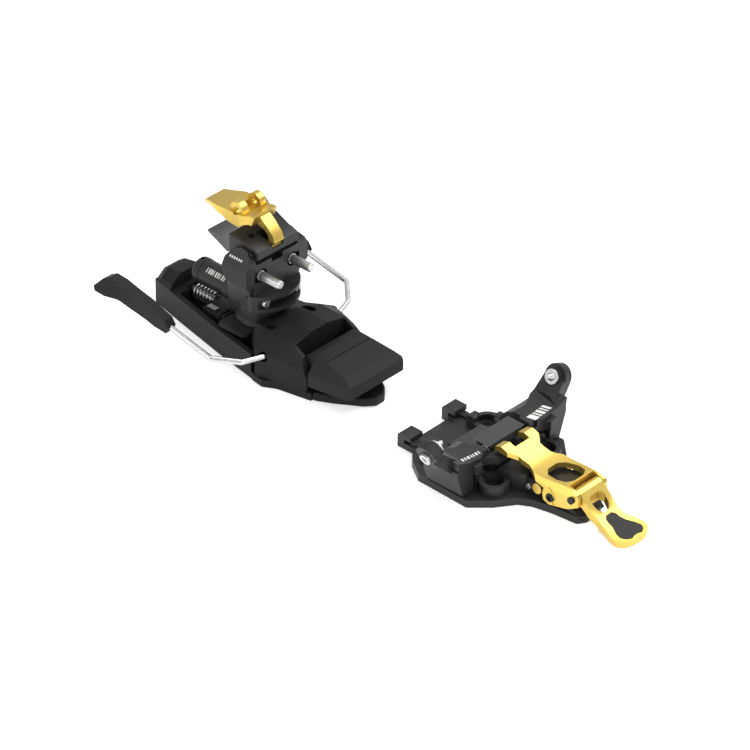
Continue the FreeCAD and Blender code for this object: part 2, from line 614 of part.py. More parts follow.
def front_clamp():
    disc = cyl_z(CRESCENT_R, 29.05, 38.0, TURRET_X, 0).common(box(-145.4, -120.0, -16.8, 16.8, 20, 40))
    disc = disc.cut(box(-140.0, -120, -16.0, 16.0, 31.0, 36.2))
    web = box(-163.0, -145.4, -11.4, 11.4, 29.05, 38.0)
    body = disc.fuse(web).cut(cyl_z(SPINDLE_R + 0.4, 20, 31.0, TURRET_X, 0))
    for y in (-HEEL_PIN_Y, HEEL_PIN_Y):
        body = body.cut(cyl_x(CLAMP_SHANK_R, -160, -130, y, CLAMP_SCREW_Z))
    return body


def clamp_screws():
    head = screw(2.1, 2.4, CLAMP_SHANK_R, 8.0, 0.8)
    return Part.makeCompound([placed(head, V(-139.95, y, CLAMP_SCREW_Z), V(1, 0, 0))
                              for y in (-HEEL_PIN_Y, HEEL_PIN_Y)])


def head_side():
    return [(HEEL_FACE_X, HEAD_LOW), (HEEL_FACE_X, 56.0), (-142.8, 59.0), (-146.0, 61.6), (-151.0, 62.6),
            (-155.0, 61.0), (-157.8, 57.0), (-158.4, 51.0), (-156.5, 45.2)]


def skirt():
    """Slanted cheeks under the head, beside the clamp."""
    low = [V(-161.0, -14.6, 29.2), V(-146.0, -14.6, 29.2), V(-146.0, 14.6, 29.2), V(-161.0, 14.6, 29.2)]
    high = [V(-157.0, -19.4, 44.0), V(-141.6, -19.4, 44.0), V(-141.6, 19.4, 44.0), V(-157.0, 19.4, 44.0)]
    body = loft([low, high])
    body = body.cut(box(-170.0, -130.0, -12.9, 12.9, 20, 38.05))
    return body.cut(box(-145.8, -130.0, -30.0, 30.0, 20, 38.05))


def turret_head():
    block = prism_y(head_side(), -HEAD_HALF, HEAD_HALF)
    block = soften(block, 2.2, lambda e: along_y(e) and e.BoundBox.XMax < -150)
    trim = [(-HEAD_HALF, HEAD_LOW + 1), (-HEAD_HALF + 2, HEAD_LOW - 1), (HEAD_HALF - 2, HEAD_LOW - 1),
            (HEAD_HALF, HEAD_LOW + 1), (HEAD_HALF, 53.0), (HEAD_HALF - 1.6, 57.0), (HEAD_HALF - 4.4, 60.4),
            (RISER_SLOT, 64), (-RISER_SLOT, 64), (-HEAD_HALF + 4.4, 60.4), (-HEAD_HALF + 1.6, 57.0),
            (-HEAD_HALF, 53.0)]
    block = block.common(prism_x(trim, -170, -130))
    waist = box(-156.0, HEEL_FACE_X, -15.5, 15.5, 38.05, HEAD_LOW + 1)
    body = one([block, waist, skirt()])
    body = body.cut(box(-170.0, -130.0, -RISER_SLOT, RISER_SLOT, SLOT_FLOOR, 80))
    for side in (-1, 1):
        y = side * HEEL_PIN_Y
        room = cyl_x(HEEL_PIN_R + 1.5, -151.0, -130, y, HEEL_PIN_Z)
        y0, y1 = sorted((y, y + side * 4.6))
        mouth = box(-146.0, -130.0, y0, y1, HEEL_PIN_Z - 2.9, HEEL_PIN_Z + 2.9)
        body = body.cut(room).cut(mouth)
        body = body.cut(cyl_z(PIVOT_R, 40.0, 54.5, PIN_PIVOT_X, y))
    body = body.cut(cyl_y(RISER_PIN_R, -RISER_PIN_HALF, RISER_PIN_HALF, RISER_AXIS_X, RISER_AXIS_Z))
    body = body.cut(cyl_y(7.8, -ARM_HALF - 0.5, ARM_HALF + 0.5, RISER_AXIS_X, RISER_AXIS_Z))
    return body.cut(cyl_z(4.0, 38.0, 42.0, TURRET_X, 0))


def heel_pin_left():
    root = cyl_x(HEEL_PIN_R + 0.3, -150.4, HEEL_FACE_X - 0.2, HEEL_PIN_Y, HEEL_PIN_Z)
    body = cyl_x(HEEL_PIN_R, HEEL_FACE_X - 0.2, HEEL_PIN_TIP_X - 0.6, HEEL_PIN_Y, HEEL_PIN_Z)
    tip_start = V(HEEL_PIN_TIP_X - 0.6, HEEL_PIN_Y, HEEL_PIN_Z)
    tip = Part.makeCone(HEEL_PIN_R, HEEL_PIN_R - 0.6, 0.6, tip_start, V(1, 0, 0))
    body = one([root, body, tip])
    return body.cut(cyl_z(PIVOT_R + RUN, 40, 60, PIN_PIVOT_X, HEEL_PIN_Y))


def pin_pivots():
    return Part.makeCompound([cyl_z(PIVOT_R, 40.0, 54.5, PIN_PIVOT_X, y) for y in (-HEEL_PIN_Y, HEEL_PIN_Y)])


def release_barrel():
    body = cyl_x(BARREL_R, BARREL_END_X, BARREL_FACE_X - 0.05, 0, BARREL_Z)
    collar = cyl_x(BARREL_R + 0.7, -173.0, BARREL_FACE_X - 0.05, 0, BARREL_Z)
    body = one([body, collar])
    return body.cut(cyl_x(BARREL_R - 1.6, BARREL_END_X, -169.5, 0, BARREL_Z))


def barrel_cap():
    body = cyl_x(BARREL_R + 0.2, BARREL_END_X - 5.0, BARREL_END_X - 0.02, 0, BARREL_Z)
    body = soften(body, 1.8, lambda e: e.BoundBox.XMax < BARREL_END_X - 4.9)
    plug = cyl_x(BARREL_R - 1.65, BARREL_END_X - 0.5, BARREL_END_X + 3.0, 0, BARREL_Z)
    body = one([body, plug])
    body = body.cut(cyl_z(1.1, BARREL_Z + 3.5, BARREL_Z + 10, BARREL_END_X - 2.6, 0))
    hexagon = [(2.0 * math.cos(math.radians(60 * i)), BARREL_Z + 2.0 * math.sin(math.radians(60 * i)))
               for i in range(6)]
    return body.cut(prism_x(hexagon, BARREL_END_X - 6.0, BARREL_END_X - 2.5))


def lateral_spring():
    return coil(V(BARREL_END_X + 4.0, 0, BARREL_Z), V(1, 0, 0), 3.5, 0.8, 2.5, 6.0)


# --- heel: risers -----------------------------------------------------------
def low_riser():
    side = [(-141.0, 62.8), (-144.6, 64.3), (-151.0, 65.0), (-161.0, 65.4), (-168.0, 60.0), (-182.5, 55.6),
            (-182.8, 54.2), (-167.0, 53.4), (-162.4, 53.8), (-160.2, 56.4), (-147.0, 56.9), (-144.5, 56.2),
            (-142.0, 56.9), (-140.6, 58.6)]
    half = RISER_SLOT - 0.35
    body = prism_y(side, -half, half)
    body = body.cut(box(-163.0, -159.4, -30, 30, 50, 54.0))
    plan = [(-183.5, 6.4), (-168.0, 11.0), (-160.0, half), (-138.0, half)]
    body = body.common(prism_z(both_sides(plan), 40, 80))
    pocket = box(-152.8, -141.6, -ARM_HALF - 0.4, ARM_HALF + 0.4, 50, 80)
    notch = box(-142.0, -138.0, -ARM_HALF - 0.4, ARM_HALF + 0.4, 60.9, 80)
    well = box(-153.6, -150.6, ARM_HALF + 2.2, ARM_HALF + 5.4, 61.0, 80)
    body = body.cut(pocket).cut(notch).cut(well).cut(mirrored(well)).cut(riser_magnets())
    return body.cut(cyl_y(RISER_PIN_R + RUN, -40, 40, RISER_AXIS_X, RISER_AXIS_Z))


def high_riser():
    arm = [(-141.9, 61.4), (-139.9, 64.0), (-141.2, 67.6), (-145.5, 71.8), (-149.6, 75.0), (-152.5, 73.6),
           (-151.6, 70.2), (-148.0, 69.2), (-144.8, 67.6), (-143.8, 64.6), (-147.1, 61.0), (-146.0, 58.4)]
    parts = [prism_y(arm, -ARM_HALF, ARM_HALF), cyl_y(2.7, -ARM_HALF, ARM_HALF, RISER_AXIS_X, RISER_AXIS_Z)]
    plate = [(-149.0, 76.6), (-151.6, 76.4), (-155.0, 75.4), (-165.0, 75.0), (-172.0, 74.6), (-184.2, 72.4),
             (-184.4, 71.2), (-170.0, 70.4), (-166.8, 68.8), (-158.4, 67.9), (-156.4, 70.0), (-153.4, 71.2),
             (-150.8, 71.6)]
    wide = prism_y(plate, -13.0, 13.0)
    shape = [(-186.0, 6.2), (-180.0, 7.4), (-172.0, 9.6), (-158.0, 9.4), (-153.0, 8.2), (-149.0, 8.0)]
    parts.append(wide.common(prism_z(both_sides(shape), 50, 100)))
    for y in (-EAR_Y, EAR_Y):
        parts.append(cyl_y(4.5, y - 2.0, y + 2.0, EAR_X, EAR_Z))
    body = one(parts)
    body = body.cut(box(EAR_X - 4.4, EAR_X + 4.8, -EAR_Y + 2.0, EAR_Y - 2.0, EAR_Z - 3.4, 90))
    body = body.cut(cyl_y(1.8, -20, 20, EAR_X, EAR_Z))
    return body.cut(cyl_y(RISER_PIN_R + RUN, -40, 40, RISER_AXIS_X, RISER_AXIS_Z))


def riser_pin():
    return cyl_y(RISER_PIN_R, -RISER_PIN_HALF, RISER_PIN_HALF, RISER_AXIS_X, RISER_AXIS_Z)


def riser_magnets():
    magnet = cyl_z(2.0, 63.6, 64.9, -157.6, 9.4)
    return Part.makeCompound([magnet, mirrored(magnet)])


# --- heel: brake ------------------------------------------------------------
def arm_z(x):
    return 18.4 + (ARM_WIDE_X - x) * ARM_RISE


def brake_arm_left():
    points = [V(BRAKE_AXIS_X, 17.0, BRAKE_AXIS_Z), V(BRAKE_AXIS_X, 26.5, BRAKE_AXIS_Z),
              V(ARM_BEND_X, 37.8, 16.3), V(ARM_WIDE_X, ARM_WIDE_Y, 18.4),
              V(ARM_END_X, ARM_WIDE_Y, arm_z(ARM_END_X))]
    return wire_run(points, WIRE_R, 2.2)


def brake_tip_left():
    outline = [(-166.5, 24.9), (-169.0, 28.4), (-176.0, 30.6), (-190.0, 35.0), (-203.5, 39.8), (-207.0, 38.2),
               (-212.5, 32.4), (-212.0, 29.4), (-207.0, 27.8), (-200.0, 27.8), (-192.0, 25.6), (-176.0, 21.8),
               (-168.0, 21.4)]
    plan = [(-166.0, -TIP_HALF), (-182.0, -TIP_HALF), (-198.0, 1.6 - TIP_HALF), (-214.0, 6.4 - TIP_HALF),
            (-214.0, 6.4 + TIP_HALF), (-198.0, 1.6 + TIP_HALF), (-182.0, TIP_HALF), (-166.0, TIP_HALF)]
    body = prism_y(outline, 30.0, 70.0).common(prism_z([(x, TIP_PLANE + y) for x, y in plan], 0, 60))
    body = soften(body, 1.2, lambda e: e.BoundBox.YMin > TIP_PLANE and e.BoundBox.XMax < -167)
    end = V(ARM_END_X, ARM_WIDE_Y, arm_z(ARM_END_X))
    hole = Part.makeCylinder(WIRE_R, 30.0, end, V(1, 0, -ARM_RISE))
    return body.cut(hole)


def brake_axle():
    return cyl_y(BRAKE_AXLE_R, -17.0, 17.0, BRAKE_AXIS_X, BRAKE_AXIS_Z)


def brake_return_spring():
    return coil(V(BRAKE_AXIS_X, -8.0, BRAKE_AXIS_Z), V(0, 1, 0), 3.0, 0.55, 1.6, 10)


def stomp_pad():
    profile = [(-108.0, 9.4), (-110.8, 11.2), (-111.2, 13.4), (-109.6, 16.6), (-106.0, 20.6), (-101.0, 22.4),
               (-92.8, 22.0), (-79.0, 19.6), (-73.8, 16.8), (-72.2, 11.8), (-75.0, 9.6), (-98.0, 7.6),
               (-103.0, 7.8)]
    body = prism_y(profile, -21.5, 21.5)
    plan = [(-112.0, PAD_ROOM - GAP), (-100.2, PAD_ROOM - GAP), (-100.2, 21.4), (-92.0, 20.8), (-77.0, 19.8),
            (-73.4, 18.2), (-71.0, 15.2)]
    body = body.common(prism_z(both_sides(plan), 0, 40))
    body = soften(body, 1.5, lambda e: along_y(e) and e.BoundBox.XMin > -80 and e.BoundBox.ZMin > 15)
    for side in (-1, 1):
        bevel = [(side * 15.0, 22.8), (side * 22.5, 13.0), (side * 22.5, 24.0), (side * 15.0, 24.0)]
        body = body.cut(prism_x(bevel, -101.5, -70.0))
    fold = prism_y([(-93.6, 21.6), (-92.8, 23.0), (-92.0, 21.5)], -30, 30)
    body = body.cut(fold).cut(box(-116.0, -99.6, -13.5, 13.5, 0, 17.0))
    return body.cut(cyl_y(PAD_PIN_R + RUN, -40, 40, PAD_AXIS_X, PAD_AXIS_Z))


def pad_pin():
    return cyl_y(PAD_PIN_R, -20.4, 20.4, PAD_AXIS_X, PAD_AXIS_Z)


# --- write every node -------------------------------------------------------
def main():
    os.makedirs("parts", exist_ok=True)
    single = [toe_base_plate, toe_centre_block, toe_springs, crampon_receiver, lever_yoke, yoke_pivot_pin,
              lock_lever, lock_lever_pin, lever_insert, yoke_rollers, detent_pins, heel_base_plate, rear_hood,
              brake_housing, front_tongue, pad_bracket, carriage, elastic_spring, adjuster_screw, scale_plate,
              turret_post, front_clamp, clamp_screws, turret_head, pin_pivots, release_barrel, barrel_cap,
              lateral_spring, low_riser, high_riser, riser_pin, riser_magnets, brake_axle,
              brake_return_spring, stomp_pad, pad_pin]
    for make in single:
        out(make.__name__, make())
    for make in (wing_left, toe_pin_left, wing_axle_left, heel_pin_left, brake_arm_left, brake_tip_left):
        left = make()
        out(make.__name__, left)
        out(make.__name__.replace("left", "right"), mirrored(left))


main()
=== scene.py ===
import json
import math
import bmesh
import bpy
from mathutils import Matrix, Vector

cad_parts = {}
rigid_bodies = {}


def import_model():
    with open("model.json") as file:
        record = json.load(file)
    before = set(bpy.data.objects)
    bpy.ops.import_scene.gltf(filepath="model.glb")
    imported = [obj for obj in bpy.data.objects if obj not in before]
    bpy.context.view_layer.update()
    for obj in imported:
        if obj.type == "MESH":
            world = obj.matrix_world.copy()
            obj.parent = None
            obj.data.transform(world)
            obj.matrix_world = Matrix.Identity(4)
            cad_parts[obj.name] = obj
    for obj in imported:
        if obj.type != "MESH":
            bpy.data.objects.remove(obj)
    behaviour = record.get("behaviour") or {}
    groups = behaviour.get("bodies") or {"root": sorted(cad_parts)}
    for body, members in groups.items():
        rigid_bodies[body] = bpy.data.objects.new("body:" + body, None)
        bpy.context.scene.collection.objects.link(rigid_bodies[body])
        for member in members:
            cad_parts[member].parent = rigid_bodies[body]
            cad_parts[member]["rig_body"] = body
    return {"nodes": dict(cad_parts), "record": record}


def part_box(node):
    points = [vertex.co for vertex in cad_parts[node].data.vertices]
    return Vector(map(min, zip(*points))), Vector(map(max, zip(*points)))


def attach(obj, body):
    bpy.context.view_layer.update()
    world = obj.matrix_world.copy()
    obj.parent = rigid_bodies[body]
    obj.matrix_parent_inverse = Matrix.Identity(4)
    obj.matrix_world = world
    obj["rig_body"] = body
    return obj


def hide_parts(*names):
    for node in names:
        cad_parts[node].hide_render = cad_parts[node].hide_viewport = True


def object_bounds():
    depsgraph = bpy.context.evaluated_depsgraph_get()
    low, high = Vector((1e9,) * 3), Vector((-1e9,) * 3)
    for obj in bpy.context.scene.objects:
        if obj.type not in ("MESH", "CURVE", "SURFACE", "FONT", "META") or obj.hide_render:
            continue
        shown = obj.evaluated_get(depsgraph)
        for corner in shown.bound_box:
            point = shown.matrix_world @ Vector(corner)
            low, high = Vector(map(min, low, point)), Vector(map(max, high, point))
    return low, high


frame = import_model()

CAD_LOW, CAD_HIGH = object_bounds()
MM = 0.001


# --- materials --------------------------------------------------------------
def surface(name):
    """A new node material: returns it with a function that adds nodes and one that joins sockets."""
    mat = bpy.data.materials.new(name)
    mat.use_nodes = True
    tree = mat.node_tree
    shader = tree.nodes["Principled BSDF"]

    def node(kind, **values):
        made = tree.nodes.new(kind)
        for key, value in values.items():
            if key in made.inputs:
                made.inputs[key].default_value = value
            else:
                setattr(made, key, value)
        return made

    return mat, shader, node, tree.links.new


def noise(node, link, where, scale, detail=3.0, rough=0.5):
    made = node("ShaderNodeTexNoise", Scale=scale, Detail=detail, Roughness=rough)
    link(where, made.inputs["Vector"])
    return made.outputs["Fac"]


def ramp(node, link, value, low, high, out_low, out_high):
    made = node("ShaderNodeMapRange")
    made.inputs["From Min"].default_value = low
    made.inputs["From Max"].default_value = high
    made.inputs["To Min"].default_value = out_low
    made.inputs["To Max"].default_value = out_high
    link(value, made.inputs["Value"])
    return made.outputs["Result"]


def mixed(node, link, factor, a, b):
    made = node("ShaderNodeMix", data_type="RGBA")
    made.inputs["A"].default_value = (*a, 1)
    made.inputs["B"].default_value = (*b, 1)
    link(factor, made.inputs["Factor"])
    return made.outputs["Result"]


def layered(node, link, factor, under, over):
    """Mix an existing colour socket with a plain colour."""
    made = node("ShaderNodeMix", data_type="RGBA")
    link(under, made.inputs["A"])
    made.inputs["B"].default_value = (*over, 1)
    link(factor, made.inputs["Factor"])
    return made.outputs["Result"]


def edge_mask(node, link, low, high, broken):
    """Convex edges, broken up by a noise so that the wear isn't a drawn line."""
    geometry = node("ShaderNodeNewGeometry")
    edge = ramp(node, link, geometry.outputs["Pointiness"], low, high, 0.0, 1.0)
    product = node("ShaderNodeMath", operation="MULTIPLY")
    link(edge, product.inputs[0])
    link(broken, product.inputs[1])
    return product.outputs[0]


def bumped(node, link, shader, height, strength, distance):
    made = node("ShaderNodeBump", Strength=strength, Distance=distance)
    link(height, made.inputs["Height"])
    link(made.outputs["Normal"], shader.inputs["Normal"])


def moulded(name, dark, light, rough, grain=3200.0, depth=0.00006):
    """Moulded plastic with a fine grain and slightly paler edges."""
    mat, shader, node, link = surface(name)
    where = node("ShaderNodeTexCoord").outputs["Object"]
    broad = noise(node, link, where, 38.0, 4.0)
    fine = noise(node, link, where, grain, 2.0, 0.6)
    worn = ramp(node, link, noise(node, link, where, 260.0, 5.0), 0.42, 0.75, 0.0, 0.12)
    colour = mixed(node, link, broad, dark, light)
    edge = edge_mask(node, link, 0.55, 0.66, worn)
    paler = tuple(c * 2.6 + 0.02 for c in light)
    link(layered(node, link, edge, colour, paler), shader.inputs["Base Color"])
    link(ramp(node, link, fine, 0.3, 0.7, rough - 0.07, rough + 0.09), shader.inputs["Roughness"])
    bumped(node, link, shader, fine, 0.35, depth)
    shader.inputs["Specular IOR Level"].default_value = 0.17
    return mat


def anodised(name, dark, light, rough, metallic, wear, blast=5200.0):
    """Bead-blasted, anodised metal with faint milling lines along X."""
    mat, shader, node, link = surface(name)
    where = node("ShaderNodeTexCoord").outputs["Object"]
    broad = noise(node, link, where, 55.0, 3.0)
    fine = noise(node, link, where, blast, 2.0, 0.7)
    stretch = node("ShaderNodeMapping")
    stretch.inputs["Scale"].default_value = (120.0, 3800.0, 3800.0)
    link(where, stretch.inputs["Vector"])
    lines = noise(node, link, stretch.outputs["Vector"], 1.0, 2.0)
    colour = mixed(node, link, broad, dark, light)
    broken = ramp(node, link, noise(node, link, where, 420.0, 5.0), 0.40, 0.70, 0.0, 0.12)
    edge = edge_mask(node, link, 0.56, 0.66, broken)
    link(layered(node, link, edge, colour, wear), shader.inputs["Base Color"])
    both = node("ShaderNodeMath", operation="ADD")
    link(fine, both.inputs[0])
    link(lines, both.inputs[1])
    link(ramp(node, link, both.outputs[0], 0.6, 1.4, rough - 0.05, rough + 0.08), shader.inputs["Roughness"])
    bumped(node, link, shader, both.outputs[0], 0.15, 0.00002)
    shader.inputs["Metallic"].default_value = metallic
    shader.inputs["Specular IOR Level"].default_value = 0.34
    return mat


def turned(name, colour, rough, rings):
    """Bare metal, its fine lines set by how the noise is stretched along X, Y and Z."""
    mat, shader, node, link = surface(name)
    where = node("ShaderNodeTexCoord").outputs["Object"]
    stretch = node("ShaderNodeMapping")
    stretch.inputs["Scale"].default_value = rings
    link(where, stretch.inputs["Vector"])
    lines = noise(node, link, stretch.outputs["Vector"], 1.0, 3.0)
    stain = noise(node, link, where, 190.0, 4.0)
    link(mixed(node, link, stain, tuple(c * 0.82 for c in colour), colour), shader.inputs["Base Color"])
    link(ramp(node, link, lines, 0.3, 0.7, rough - 0.07, rough + 0.10), shader.inputs["Roughness"])
    bumped(node, link, shader, lines, 0.08, 0.00002)
    shader.inputs["Metallic"].default_value = 1.0
    return mat


def pebbled(name, dark, light):
    """Rubber with a small round pattern."""
    mat, shader, node, link = surface(name)
    where = node("ShaderNodeTexCoord").outputs["Object"]
    cells = node("ShaderNodeTexVoronoi", Scale=1500.0)
    link(where, cells.inputs["Vector"])
    broad = noise(node, link, where, 90.0, 3.0)
    link(mixed(node, link, broad, dark, light), shader.inputs["Base Color"])
    link(ramp(node, link, cells.outputs["Distance"], 0.0, 0.6, 0.62, 0.82), shader.inputs["Roughness"])
    bumped(node, link, shader, cells.outputs["Distance"], 0.5, 0.00012)
    return mat


def scale_finish(name, level):
    """Dark plate below a height, pale printed strokes above it."""
    mat, shader, node, link = surface(name)
    where = node("ShaderNodeTexCoord").outputs["Object"]
    split = node("ShaderNodeSeparateXYZ")
    link(where, split.inputs["Vector"])
    stroke = ramp(node, link, split.outputs["Z"], level - 0.00002, level + 0.00002, 0.0, 1.0)
    grain = noise(node, link, where, 2600.0, 3.0)
    plate = mixed(node, link, grain, (0.010, 0.010, 0.011), (0.016, 0.016, 0.017))
    link(layered(node, link, stroke, plate, (0.62, 0.62, 0.61)), shader.inputs["Base Color"])
    link(ramp(node, link, grain, 0.3, 0.7, 0.40, 0.55), shader.inputs["Roughness"])
    bumped(node, link, shader, grain, 0.2, 0.00003)
    return mat


SCALE_STROKE = 0.00015  # height of the strokes on the heel's length scale, metres

PLASTIC = moulded("moulded_black", (0.0055, 0.0055, 0.006), (0.009, 0.009, 0.0095), 0.50)
PAD_PLASTIC = moulded("moulded_pad_black", (0.009, 0.009, 0.0095), (0.013, 0.013, 0.0135), 0.58,
                      2400.0, 0.00010)
BLACK_ALU = anodised("anodised_black", (0.016, 0.016, 0.0165), (0.021, 0.021, 0.0215), 0.42, 0.25,
                     (0.16, 0.16, 0.165))
GREY_ALU = anodised("anodised_grey", (0.042, 0.042, 0.043), (0.052, 0.052, 0.053), 0.42, 0.35,
                    (0.22, 0.22, 0.225))
GOLD = anodised("anodised_gold", (0.62, 0.44, 0.09), (0.70, 0.51, 0.125), 0.30, 0.90,
                (0.92, 0.76, 0.40), 4200.0)
STEEL = turned("turned_steel", (0.60, 0.60, 0.60), 0.34, (3600.0, 300.0, 300.0))
DARK_STEEL = turned("blackened_steel", (0.035, 0.035, 0.037), 0.36, (2600.0, 2600.0, 2600.0))
SPRING_STEEL = turned("spring_steel_wire", (0.42, 0.42, 0.42), 0.30, (2600.0, 2600.0, 2600.0))
WIRE = turned("drawn_wire", (0.62, 0.62, 0.63), 0.24, (700.0, 2600.0, 2600.0))
RUBBER = pebbled("pebbled_rubber", (0.012, 0.012, 0.012), (0.022, 0.022, 0.022))
MARKS = moulded("printed_marks", (0.52, 0.52, 0.51), (0.66, 0.66, 0.65), 0.45)
SCALE = scale_finish("adjuster_scale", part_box("scale_plate")[1].z - SCALE_STROKE)

SLOT_FINISH = {"black_plastic": PLASTIC, "black_anodised": BLACK_ALU, "gold_anodised": GOLD,
               "steel": STEEL, "spring_steel": WIRE, "rubber": RUBBER, "white_marks": SCALE}
NODE_FINISH = {"stomp_pad": PAD_PLASTIC, "release_barrel": BLACK_ALU, "barrel_cap": BLACK_ALU,
               "turret_post": BLACK_ALU, "toe_centre_block": GREY_ALU, "brake_arm_left": WIRE,
               "brake_arm_right": WIRE, "yoke_pivot_pin": DARK_STEEL, "lock_lever_pin": DARK_STEEL,
               "riser_pin": DARK_STEEL, "elastic_spring": SPRING_STEEL, "toe_springs": SPRING_STEEL}
NODE_SLOT = {entry["node"]: entry["material_slot"] for entry in frame["record"]["subparts"]}


def finish_of(name):
    return NODE_FINISH.get(name, SLOT_FINISH[NODE_SLOT[name]])


# --- softened edges ---------------------------------------------------------
# radius of the rounded edges, mm
EDGE_ROUND = {"brake_housing": 1.6, "rear_hood": 1.6, "heel_base_plate": 1.2, "front_tongue": 1.2,
              "stomp_pad": 1.5, "turret_head": 0.9, "low_riser": 0.7, "high_riser": 0.7,
              "lever_yoke": 0.7, "lock_lever": 0.7, "wing_left": 0.9, "wing_right": 0.9,
              "toe_base_plate": 0.8, "toe_centre_block": 0.7, "front_clamp": 0.6, "carriage": 0.5,
              "brake_tip_left": 1.3, "brake_tip_right": 1.3, "crampon_receiver": 0.6}
SMALL_ROUND = 0.22      # every other piece, mm
SAME_POINT = 0.000004   # vertices closer than this are one, metres
FLAT = 0.6              # degrees between faces that are joined into one
ROUNDED_ABOVE = 28      # degrees, edges sharper than this are rounded
CREASED_ABOVE = 31      # degrees, edges sharper than this aren't shaded across
KEPT_PLAIN = {"toe_springs", "elastic_spring", "lateral_spring", "brake_return_spring", "brake_arm_left",
              "brake_arm_right"}


def softened(name):
    """A copy of a CAD node's mesh with its flat faces joined and its edges rounded."""
    source = frame["nodes"][name]
    mesh = bpy.data.meshes.new(name + "_skin")
    work = bmesh.new()
    work.from_mesh(source.data)
    bmesh.ops.remove_doubles(work, verts=work.verts, dist=SAME_POINT)
    bmesh.ops.dissolve_limit(work, angle_limit=math.radians(FLAT), verts=work.verts, edges=work.edges)
    work.to_mesh(mesh)
    work.free()
    piece = bpy.data.objects.new(name + "_skin", mesh)
    bpy.context.scene.collection.objects.link(piece)
    mesh.materials.clear()
    mesh.materials.append(finish_of(name))
    for polygon in mesh.polygons:
        polygon.use_smooth = True
        polygon.material_index = 0
    bevel = piece.modifiers.new("edges", "BEVEL")
    bevel.width = EDGE_ROUND.get(name, SMALL_ROUND) * MM
    bevel.segments = 3
    bevel.limit_method = "ANGLE"
    bevel.angle_limit = math.radians(ROUNDED_ABOVE)
    bevel.harden_normals = True
    crease = piece.modifiers.new("creases", "EDGE_SPLIT")
    crease.split_angle = math.radians(CREASED_ABOVE)
    crease.use_edge_sharp = False
    piece.modifiers.new("shading", "WEIGHTED_NORMAL").keep_sharp = True
    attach(piece, source["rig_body"])
    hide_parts(name)
    return piece


for node_name, cad in frame["nodes"].items():
    cad.data.materials.clear()
    cad.data.materials.append(finish_of(node_name))
    if node_name not in KEPT_PLAIN:
        softened(node_name)


# --- printed marks, plain strokes with no lettering -------------------------
INK = 0.05              # the print stands this far above its surface, mm
INK_DEPTH = 0.04        # thickness of the print, mm
WING_GAP = 0.9          # between two strokes on a wing, mm
STROKE_PITCH = 1.5      # between two strokes on the barrel and the head, mm
BARREL_Z = 24.0         # axis of the release barrel, mm
BARREL_R = 6.7


def printed(name, body, patches):
    """Thin raised patches in mm, each a grid of points (rows of equal length)."""
    mesh = bpy.data.meshes.new(name)
    work = bmesh.new()
    for grid in patches:
        rows = [[work.verts.new(point * MM) for point in row] for row in grid]
        for upper, lower in zip(rows, rows[1:]):
            for i in range(len(upper) - 1):
                work.faces.new((upper[i], upper[i + 1], lower[i + 1], lower[i]))
    bmesh.ops.recalc_face_normals(work, faces=work.faces)
    bmesh.ops.solidify(work, geom=work.faces, thickness=INK_DEPTH * MM)
    work.to_mesh(mesh)
    work.free()
    mesh.materials.append(MARKS)
    piece = bpy.data.objects.new(name, mesh)
    bpy.context.scene.collection.objects.link(piece)
    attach(piece, body)


def along(profile, place):
    """Height of a profile of (place, height) pairs at one place."""
    for (a, low), (b, high) in zip(profile, profile[1:]):
        if a <= place <= b:
            return low + (high - low) * (place - a) / (b - a)
    return profile[-1][1]


WING_TOP = [(14.8, 20.9), (24.0, 21.4), (32.0, 22.6), (38.8, 25.6)]     # (y, z) over a wing, mm


def wing_strokes(side, start, widths, x_low, x_high, slant):
    """Strokes of the given widths across a wing's top, side by side from start outwards."""
    patches = []
    y = start
    for width in widths:
        ends = [y + width * step / 2 for step in range(3)]
        rows = []
        for x in (x_low, x_high):
            lean = slant * (x - x_low)
            rows.append([Vector((x, side * (e + lean), along(WING_TOP, e + lean) + INK)) for e in ends])
        patches.append(rows)
        y += width + WING_GAP
    return patches


def barrel_strokes():
    """Nine strokes around the upper right of the release barrel."""
    middle, radius = Vector((0, 0, BARREL_Z)), BARREL_R + INK
    patches = []
    for i in range(9):
        x = -186.0 + STROKE_PITCH * i
        rows = []
        for edge in (x, x + (0.9 if i % 3 else 0.5)):
            turns = [math.radians(118 + 8 * step) for step in range(4)]
            rows.append([middle + Vector((edge, radius * math.cos(t), radius * math.sin(t))) for t in turns])
        patches.append(rows)
    return patches


def head_strokes():
    """Six strokes on the right shoulder of the turret head."""
    low, high = Vector((0, -19.9, 57.0)), Vector((0, -17.1, 60.4))
    out = Vector((0, -0.77, 0.64)) * (INK + 0.02)
    patches = []
    for i in range(6):
        x = -155.0 + STROKE_PITCH * i
        ends = [low.lerp(high, part) + out for part in (0.15, 0.42)]
        patches.append([[end + Vector((edge, 0, 0)) for end in ends] for edge in (x, x + 0.8)])
    return patches


printed("wing_marks_left", "left_wing",
        wing_strokes(1, 17.5, (3.2, 1.0, 1.8, 0.8, 1.4), 6.6, 11.4, 0.25))
printed("wing_marks_right", "right_wing",
        wing_strokes(-1, 19.5, (0.7, 1.2, 0.7, 0.7, 1.6, 0.9, 1.2), 8.9, 11.0, 0.2))
printed("barrel_marks", "turret", barrel_strokes())
printed("head_marks", "turret", head_strokes())


# --- stage, light and camera ------------------------------------------------
FLOOR_HALF = 6.0        # metres
FLOOR_DROP = 0.0002     # the floor lies this far under the object, metres
AIR_LOW, AIR_HIGH = 0.36, 0.94      # light from the horizon and from above
LIT_MIDDLE = Vector((-0.06, 0, 0.02))
SEEN_MIDDLE = Vector((-0.064, 0, 0.022))
CAMERA_AZIMUTH, CAMERA_HEIGHT, CAMERA_ROLL = 47.33, 33.88, 0.71     # degrees
CAMERA_DISTANCE = 1.967
CAMERA_LENS = 195.7     # mm
SHIFT_RIGHT, SHIFT_UP = 0.0084, 0.0011      # the object sits this far right and up in the view


